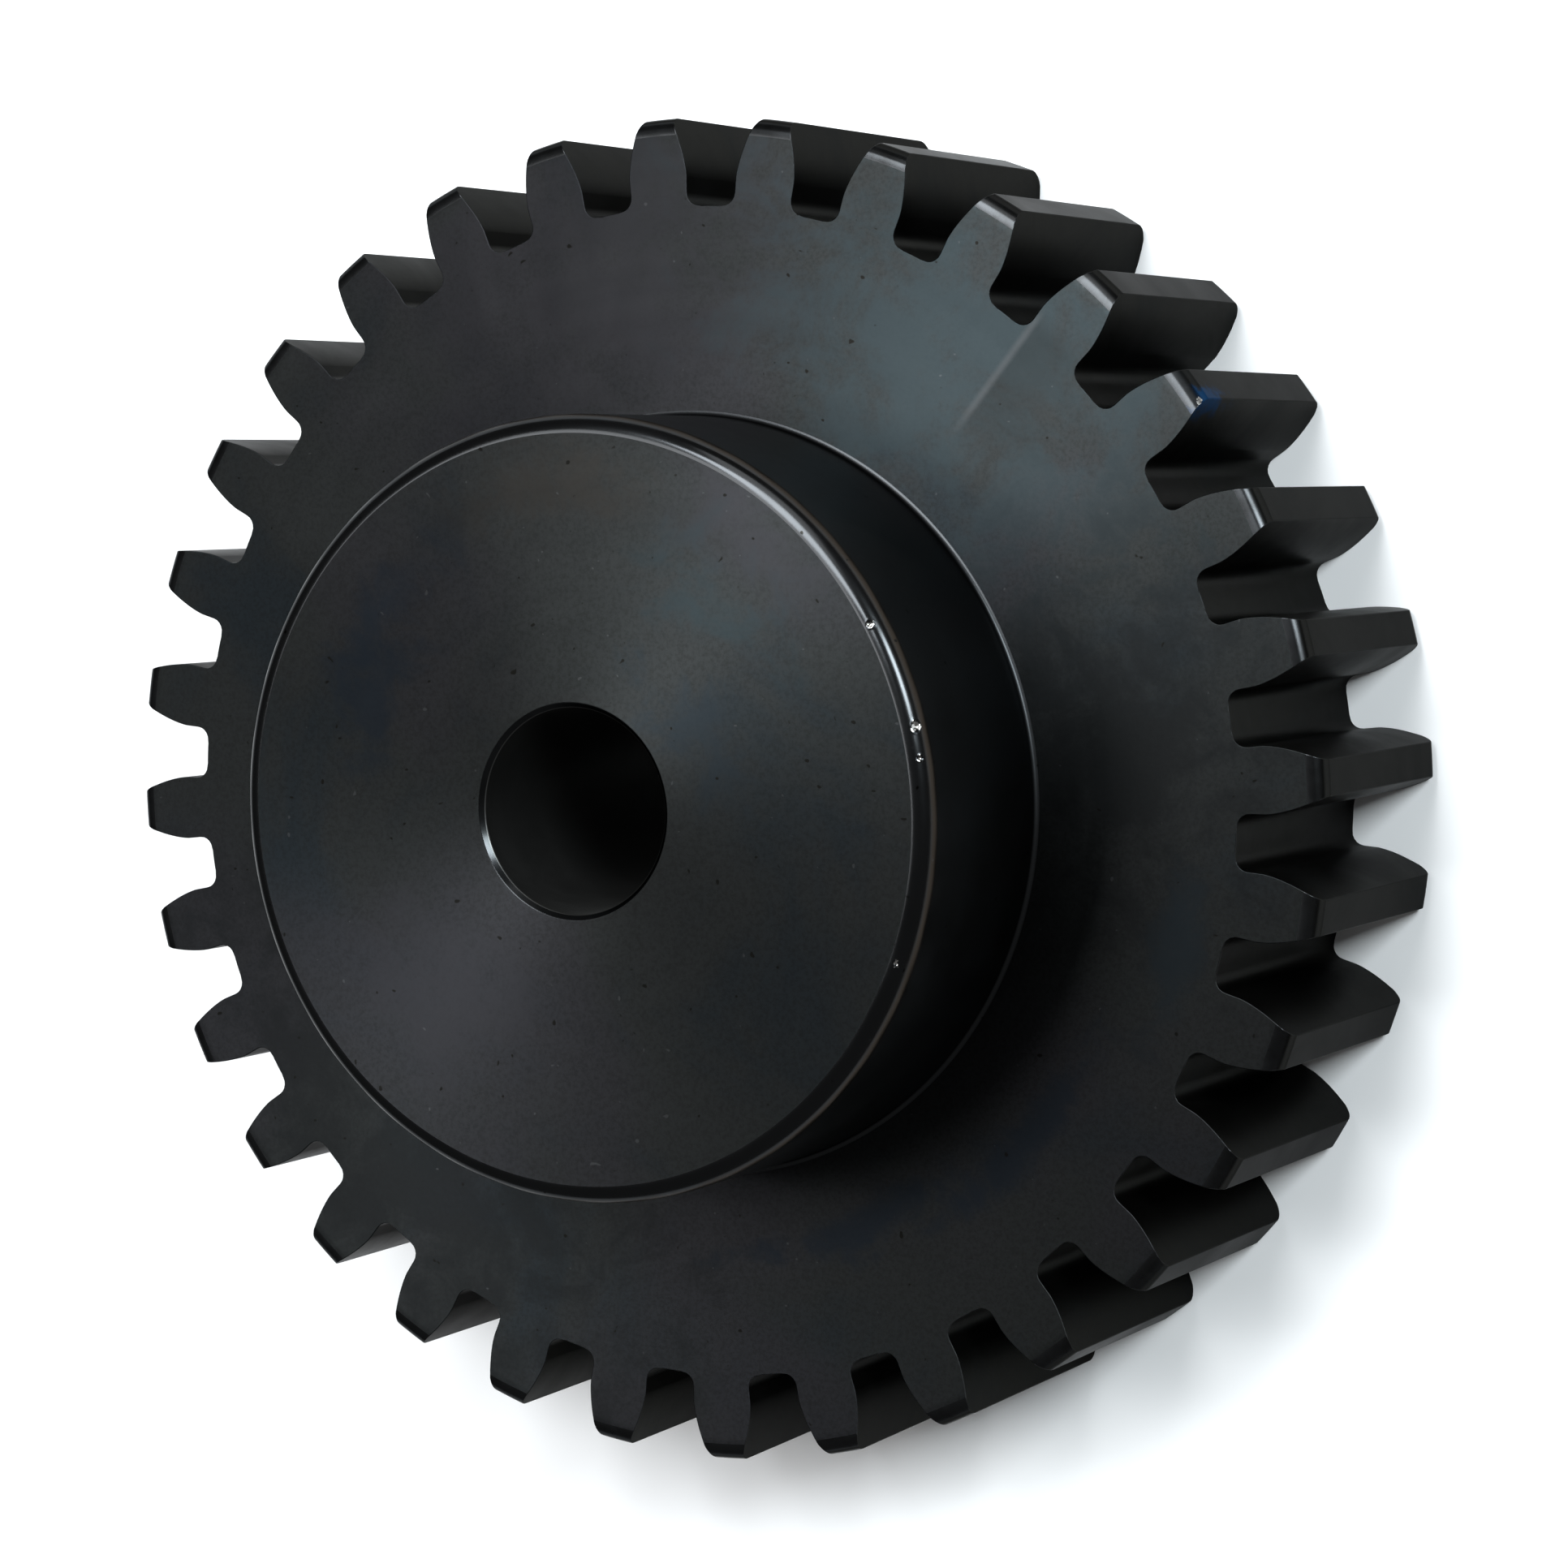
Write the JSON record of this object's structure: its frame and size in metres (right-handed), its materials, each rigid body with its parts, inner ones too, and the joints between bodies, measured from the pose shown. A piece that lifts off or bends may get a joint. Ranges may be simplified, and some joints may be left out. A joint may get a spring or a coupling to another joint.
{
  "type": "spur gear",
  "caption": "Straight-toothed steel spur gear: a wide toothed disc with a flat web, and a round hub that stands out on one side around a plain through bore.",
  "frame": {"origin": "centre of the back face, on the bore's axis; the gear lies flat on this face", "axes": "+Z along the bore, from the back face to the hub's free face; +X through the middle of a tooth space"},
  "size_m": [0.2154, 0.2154, 0.0882],
  "materials": {
    "disc_steel": "black oxide over turned faces and hobbed teeth, satin, lightly oiled",
    "hub_steel": "black oxide over turned faces, satin, lightly oiled, with brighter worn corners"
  },
  "bodies": {
    "root": {"toothed_disc": "disc_steel", "hub": "hub_steel"}
  },
  "joints": []
}
